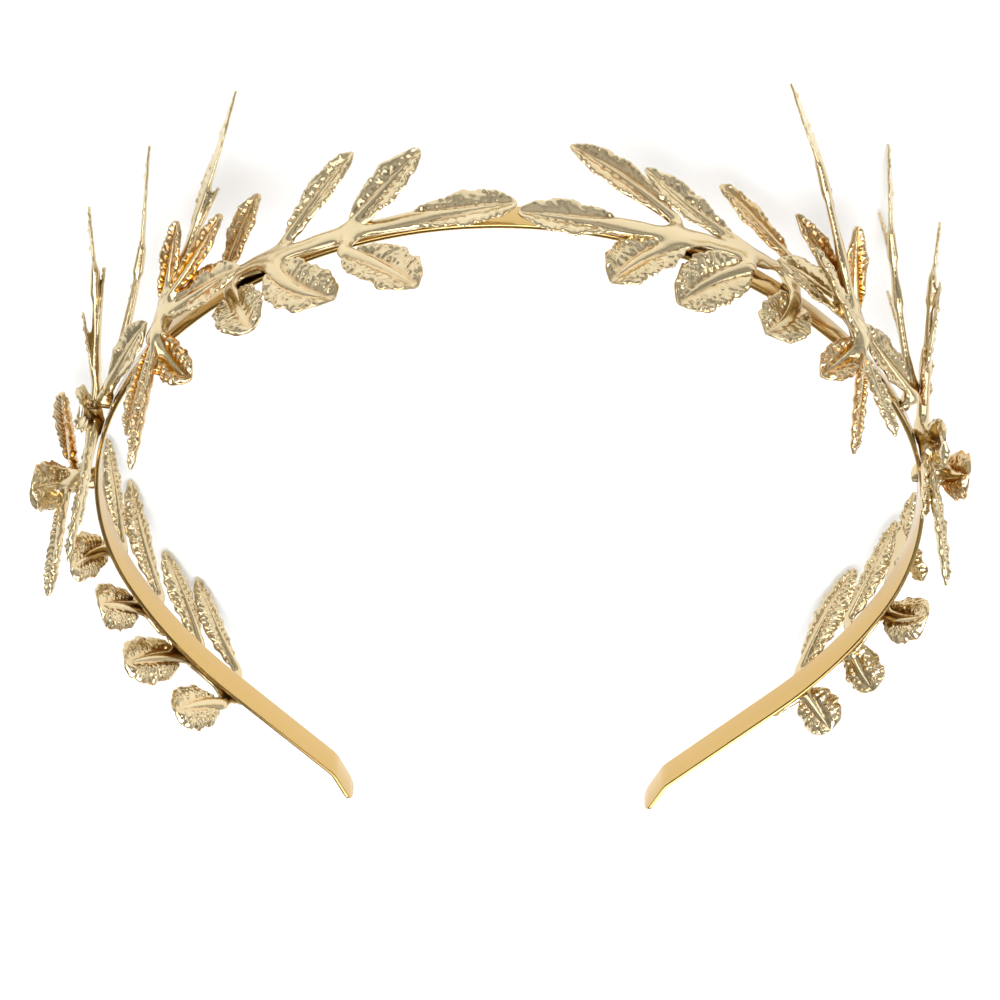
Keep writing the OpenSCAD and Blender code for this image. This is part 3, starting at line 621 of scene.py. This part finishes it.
def skin(field, step, corner):
    """Closed mesh on the zero level of a field of distances (surface nets)."""
    inside = field < 0
    corners = [(i, j, k) for i in (0, 1) for j in (0, 1) for k in (0, 1)]
    count = sum(inside[tuple(slice(a, n - 1 + a) for a, n in zip(c, inside.shape))].astype(np.int8)
                for c in corners)
    live = (count > 0) & (count < 8)
    cells = np.argwhere(live)
    index = np.full(live.shape, -1)
    index[live] = np.arange(len(cells))
    total, hits = np.zeros((len(cells), 3)), np.zeros((len(cells), 1))
    for p in corners:
        for axis in range(3):
            if p[axis] == 0:
                q = tuple(1 if i == axis else p[i] for i in range(3))
                fa, fb = field[tuple((cells + p).T)], field[tuple((cells + q).T)]
                hit = (fa < 0) != (fb < 0)
                at = np.tile(np.array(p, float), (len(cells), 1))
                at[:, axis] += np.where(hit, fa/np.where(hit, fa - fb, 1), 0)
                total += at*hit[:, None]
                hits += hit[:, None]
    co = corner + step*(cells + total/hits)
    quads = []
    for axis in range(3):
        e, f = [i for i in range(3) if i != axis]
        first = inside.take(range(inside.shape[axis] - 1), axis)
        change = np.argwhere(first != inside.take(range(1, inside.shape[axis]), axis))
        for i in (e, f):
            change = change[(change[:, i] > 0) & (change[:, i] < inside.shape[i] - 1)]
        ring = []
        for de, df in ((-1, -1), (0, -1), (0, 0), (-1, 0)):
            c = change.copy()
            c[:, e] += de
            c[:, f] += df
            ring.append(index[tuple(c.T)])
        ring = np.stack(ring, -1)
        flip = first[tuple(change.T)] ^ (axis == 1)
        ring[~flip] = ring[~flip][:, ::-1]
        quads.append(ring)
    quads = np.concatenate(quads)
    return evened(co, quads), quads


def thick_at(slim):
    """Half thickness of a stem where it has the share slim of its width."""
    return STEM_T/2*(0.35 + 0.65*slim)


def stalk(sprig, r, stem):
    """Centre line of a leaf's stalk and midrib, with half widths, half thicknesses and faces."""
    root, along, facing = leaf_frame(sprig, r)
    w = leaf_size(r)[1]
    tall = chasing(sprig, r) is CHASED["tall"]
    # the midrib, on the seen face
    u = np.linspace(0, 0.92, 16)
    lift = 0 if tall else -0.08 if sprig.zone in INWARD else 0.08
    mid = in_place(on_blade(r, u*leaf_size(r)[0], 0*u, lift + 0*u, sway_of(r)), sprig, r)
    rib_w = smooth_table(FORMS[r.form].rib, u)*w/2*1.12
    rib_t = np.interp(u, (0, 0.3, 0.92), (0.86, 0.7, 0.3))*(0.55 if tall else 1)
    # the stalk, which leaves the stem a little before the leaf does unless its root is far off
    far = np.linalg.norm(root - stem_at(sprig, r.at)) > 4.5
    t = r.at if far else max(0.0, r.at - 0.14)
    a, heading = stem_at(sprig, t), stem_dir(sprig, max(t, 0.01))
    first, reach = unit(mid[1] - mid[0]), np.linalg.norm(root - a)
    if far:
        heading = unit(mid[0] - a)
    elif np.dot(first, heading) < -0.1:
        heading = unit(0.3*heading + first)
    b, c = a + heading*reach*0.4, mid[0] - first*min(reach*0.35, 2.5)
    m = np.linspace(0, 1, 9)[:-1, None]
    curve = (1 - m)**3*a + 3*m*(1 - m)**2*b + 3*m*m*(1 - m)*c + m**3*mid[0]
    faces = stem_face(sprig, max(t, 0.01))*(1 - m) + facing*m
    m = m[:, 0]
    slim = 1 - (1 - stem.thin)*t
    foot_w = STEM_W/2*stem.wide*slim*(0.45 if far else 0.75)
    return (np.concatenate([curve, mid]),
            np.concatenate([foot_w*(1 - m) + rib_w[0]*m, rib_w]),
            np.concatenate([thick_at(slim)*0.8*(1 - m) + rib_t[0]*m, rib_t]),
            np.concatenate([faces, np.tile(facing, (len(u), 1))]))


def strokes(sprig, stem):
    """The strokes of a sprig: its stem, its foot on the band, and a stalk for every leaf."""
    t = np.linspace(0, 1, 24)
    P = np.array([stem_at(sprig, q) for q in t])
    F = np.array([stem_face(sprig, q) for q in t])
    # the front stems start thin, where their last round leaf hangs
    slim = (1 - (1 - stem.thin)*t)*np.interp(t, (0, 0.3), (0.55 if sprig.zone == "front" else 1, 1))
    out = [(P, STEM_W/2*stem.wide*slim, thick_at(slim), F)]
    share, h = sprig.path[0][:2]
    foot = place(sprig.side, share, min(h*LEAF_LEN, BAND_W/2 - 0.9), CLEAR - STEM_T/2)
    if np.linalg.norm(P[0] - foot) > 0.9:
        q = np.linspace(0, 1, 4)[:, None]
        radius = np.full(4, 1.1)
        out.append((P[0]*(1 - q) + foot*q, radius, radius, np.tile(stem_dir(sprig, 0), (4, 1))))
    return out + [stalk(sprig, r, stem) for r in sprig.leaves]


def stems(lines, soft):
    """One smooth skin over all the strokes of a sprig, with fillets where they meet."""
    step, reach, away = 0.3, 3.6, 6.0  # of the field's grid, of a stroke's own part of it, outside
    every = np.concatenate([q[0] for q in lines])
    corner = every.min(0) - 4
    size = np.ceil((every.max(0) + 4 - corner)/step).astype(int)
    field = np.full(size, away)
    for P, W, H, F in lines:
        own = np.full(size, away)
        for i in range(len(P) - 1):
            low, top = np.minimum(P[i], P[i + 1]) - reach, np.maximum(P[i], P[i + 1]) + reach
            lo = np.maximum(np.floor((low - corner)/step).astype(int), 0)
            hi = np.minimum(np.ceil((top - corner)/step).astype(int), size)
            grid = [corner[j] + step*np.arange(lo[j], hi[j]) for j in range(3)]
            g = np.stack(np.meshgrid(*grid, indexing="ij"), -1) - P[i]
            e = P[i + 1] - P[i]
            t = np.clip(g@e/(e@e), 0, 1)
            g = g - t[..., None]*e
            f = square_to((F[i] + F[i + 1])/2, unit(e))
            w, h = W[i]*(1 - t) + W[i + 1]*t, H[i]*(1 - t) + H[i + 1]*t
            high = g@f
            flat = np.maximum((g*g).sum(-1) - high*high, 0)
            box = tuple(slice(p, q) for p, q in zip(lo, hi))
            own[box] = np.minimum(own[box], np.sqrt(flat + (high*w/h)**2) - w)
        field = smooth_min(field, own, soft)
    return skin(field, step, corner)


# Materials
def gold(name, colour, uneven_and_reflection_colour, rough, bump):
    """Polished gold that goes from one colour to a deeper one with the mesh's painted warm reflection
    tone.
    """
    mat = bpy.data.materials.new(name)
    mat.use_nodes = True
    nodes, link = mat.node_tree.nodes, mat.node_tree.links.new
    shader = nodes["Principled BSDF"]
    shader.inputs["Metallic"].default_value = 1.0
    place_on = nodes.new("ShaderNodeTexCoord")

    def noise(scale, detail):
        tex = nodes.new("ShaderNodeTexNoise")
        tex.inputs["Scale"].default_value = scale
        tex.inputs["Detail"].default_value = detail
        link(place_on.outputs["Object"], tex.inputs["Vector"])
        return tex.outputs["Fac"]

    # wear in the polish
    wear = nodes.new("ShaderNodeMapRange")
    wear.inputs["To Min"].default_value = rough*0.8
    wear.inputs["To Max"].default_value = rough*1.5
    link(noise(900, 3), wear.inputs["Value"])
    link(wear.outputs["Result"], shader.inputs["Roughness"])
    # the metal's colour and the deeper colour of the painted warm reflection, with a slight random
    # unevenness
    tint = nodes.new("ShaderNodeMix")
    tint.data_type = "RGBA"
    tint.inputs["A"].default_value = (*colour, 1)
    tint.inputs["B"].default_value = (*uneven_and_reflection_colour, 1)
    painted_reflection = nodes.new("ShaderNodeAttribute")
    painted_reflection.attribute_name = "painted_reflection"
    add = nodes.new("ShaderNodeMath")
    add.operation = "MULTIPLY_ADD"
    add.use_clamp = True
    add.inputs[1].default_value = 0.08
    link(noise(120, 2), add.inputs[0])
    link(painted_reflection.outputs["Fac"], add.inputs[2])
    link(add.outputs["Value"], tint.inputs["Factor"])
    link(tint.outputs["Result"], shader.inputs["Base Color"])
    # the casting's fine grain
    grain = nodes.new("ShaderNodeBump")
    grain.inputs["Strength"].default_value = bump
    grain.inputs["Distance"].default_value = 0.0002
    link(noise(1400, 2), grain.inputs["Height"])
    link(grain.outputs["Normal"], shader.inputs["Normal"])
    return mat


# the second colour is the painted warm reflection's orange, and on the band, which has none of it, only
# the random unevenness
CAST = gold("cast_gold", (0.65, 0.55, 0.345), (0.52, 0.215, 0.015), 0.17, 0.1)
STRIP = gold("polished_band", (0.53, 0.356, 0.134), (0.5, 0.32, 0.11), 0.1, 0.03)


def piece(name, mesh, mat, slot, *nodes):
    """Puts a mesh in the scene, in place of the nodes that it dresses."""
    ob = bpy.data.objects.new(name, mesh)
    bpy.context.scene.collection.objects.link(ob)
    mesh.materials.append(mat)
    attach(ob, "root")
    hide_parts(*nodes)


# The band
def band_path():
    """Stations from the left tip to the right tip: inner point, outward direction, half height."""
    right = []
    for s in np.concatenate([np.arange(0, HALF, 1.5), [HALF]]):
        p, f, n = station(1, s)
        right.append((p, n, BAND_W/2))
    for k in range(1, 9):
        right.append((*past_the_end(part=k/8), BAND_W/2))
    flat = TIP_RUN - TIP_CORNER
    round_off = flat + TIP_CORNER*np.sin(np.radians([15, 30, 45, 60, 75, 85, 90]))
    for x in np.concatenate([np.linspace(0.5, flat, 6), round_off]):
        past = max(0, x - flat)
        high = BAND_W/2 - TIP_CORNER + math.sqrt(max(0, TIP_CORNER**2 - past*past))
        right.append((*past_the_end(x), high))
    left = [(p*[-1, 1, 1], n*[-1, 1, 1], h) for p, n, h in right[:0:-1]]
    return left + right


def band_mesh():
    """The strip, swept along the band with rounded edges."""
    shell = Shell()
    rings, uvs = [], []
    run, last, r = 0, None, EDGE_R
    for p, n, h in band_path():
        corners = ((h - r, BAND_T - r, 0), (h - r, r, 90), (r - h, r, 180), (r - h, BAND_T - r, 270))
        z = np.array([(cx + r*math.cos(a), cz + r*math.sin(a)) for cz, cx, a0 in corners
                      for a in np.radians([a0, a0 + 30, a0 + 60, a0 + 90])])
        rings.append(p + np.outer(z[:, 0], n) + np.outer(z[:, 1], [0, 0, 1]))
        if last is not None:
            run += np.linalg.norm(p - last)
        last = p
        uvs.append(np.stack([np.full(len(z), run/10), z[:, 1]/10], -1))
    shell.tube(rings, uvs)
    return shell.mesh("band_strip", False)


piece("band_strip", band_mesh(), STRIP, "polished_band", "band")
for name, sprig in SPRIGS.items():
    shell = Shell()
    for r in sprig.leaves:
        leaf(shell, sprig, r)
    stem = STEMS[sprig.zone]
    shell.net(*stems(strokes(sprig, stem), stem.soft))
    piece("cast_" + name, shell.mesh("cast_" + name), CAST, "cast_gold", name)

# The camera, placed in the crown's frame and laid down with it
AIM, FAR, TILT, ROLL = np.array([0, 58.5, 0]), 424, math.radians(52), math.radians(2.05)
back = np.array([0, -math.cos(TILT), -math.sin(TILT)])
up = np.array([0, -math.sin(TILT), math.cos(TILT)])
right = np.array([1.0, 0, 0])
cam_right = math.cos(ROLL)*right + math.sin(ROLL)*up
cam_up = -math.sin(ROLL)*right + math.cos(ROLL)*up
cam = bpy.data.cameras.new("camera")
cam.lens, cam.sensor_width = 85, 36
cam.shift_x = -0.0094
cam.clip_start = 0.01
cam_ob = bpy.data.objects.new("camera", cam)
bpy.context.scene.collection.objects.link(cam_ob)
seat = np.eye(4)
seat[:3, :3] = np.stack([TURN@cam_right, TURN@cam_up, TURN@back], 1)
seat[:3, 3] = at_rest(AIM + FAR*back)
cam_ob.matrix_world = Matrix(seat.tolist())
bpy.context.scene.camera = cam_ob

# The floor
floor_me = bpy.data.meshes.new("floor")
floor_me.from_pydata([(-3, -3, 0), (3, -3, 0), (3, 3, 0), (-3, 3, 0)], [], [(0, 1, 2, 3)])
floor = bpy.data.objects.new("floor", floor_me)
bpy.context.scene.collection.objects.link(floor)
floor_mat = bpy.data.materials.new("floor")
floor_mat.use_nodes = True
floor_shader = floor_mat.node_tree.nodes["Principled BSDF"]
floor_shader.inputs["Base Color"].default_value = (0.93, 0.93, 0.93, 1)
floor_shader.inputs["Roughness"].default_value = 0.6
floor_me.materials.append(floor_mat)


# The light
def area(name, where, size, power, spread=180):
    """A square light that looks at the middle of the floor."""
    la = bpy.data.lights.new(name, "AREA")
    la.size, la.energy, la.spread = size, power, math.radians(spread)
    ob = bpy.data.objects.new(name, la)
    bpy.context.scene.collection.objects.link(ob)
    ob.location = where
    ob.rotation_euler = (-Vector(where)).to_track_quat("-Z", "Y").to_euler()


area("top", (0, 0, 0.36), 0.45, 0.56, 60)
area("key", (-0.4, 0.25, 0.45), 0.35, 0.8)
area("fill", (0.45, 0.1, 0.35), 0.28, 0.65)
area("back", (0.05, -0.5, 0.3), 0.25, 0.6)


def studio():
    """The studio round the crown: a pale ceiling over a darker belt, both in soft patches."""
    world = bpy.data.worlds.new("studio")
    bpy.context.scene.world = world
    world.use_nodes = True
    nodes, link = world.node_tree.nodes, world.node_tree.links.new
    where = nodes.new("ShaderNodeTexCoord")
    split = nodes.new("ShaderNodeSeparateXYZ")
    belt = nodes.new("ShaderNodeValToRGB")
    belt.color_ramp.interpolation = "EASE"
    ramp = belt.color_ramp.elements
    ramp[0].position, ramp[1].position = 0.0, 1.0
    # greys by height, from the floor's side to the ceiling
    greys = ((0.0, 0.6), (0.48, 0.6), (0.54, 0.7), (0.64, 0.5), (0.76, 0.25), (0.87, 0.22), (0.95, 0.95),
             (1.0, 1.3))
    for at, grey in greys:
        stop = {0.0: ramp[0], 1.0: ramp[-1]}.get(at) or ramp.new(at)
        stop.color = (grey, grey, grey, 1)
    link(where.outputs["Generated"], split.inputs[0])
    link(split.outputs["Z"], belt.inputs["Fac"])
    patches = nodes.new("ShaderNodeTexNoise")
    patches.inputs["Scale"].default_value = 1.6
    patches.inputs["Detail"].default_value = 1
    spread = nodes.new("ShaderNodeMapRange")
    for socket, value in (("From Min", 0.35), ("From Max", 0.65), ("To Min", 0.55), ("To Max", 1.45)):
        spread.inputs[socket].default_value = value
    both = nodes.new("ShaderNodeVectorMath")
    both.operation = "SCALE"
    link(where.outputs["Generated"], patches.inputs["Vector"])
    link(patches.outputs["Fac"], spread.inputs["Value"])
    link(belt.outputs["Color"], both.inputs[0])
    link(spread.outputs["Result"], both.inputs["Scale"])
    link(both.outputs["Vector"], nodes["Background"].inputs["Color"])
    nodes["Background"].inputs["Strength"].default_value = 0.8


studio()
bpy.context.scene.view_settings.view_transform = "Standard"
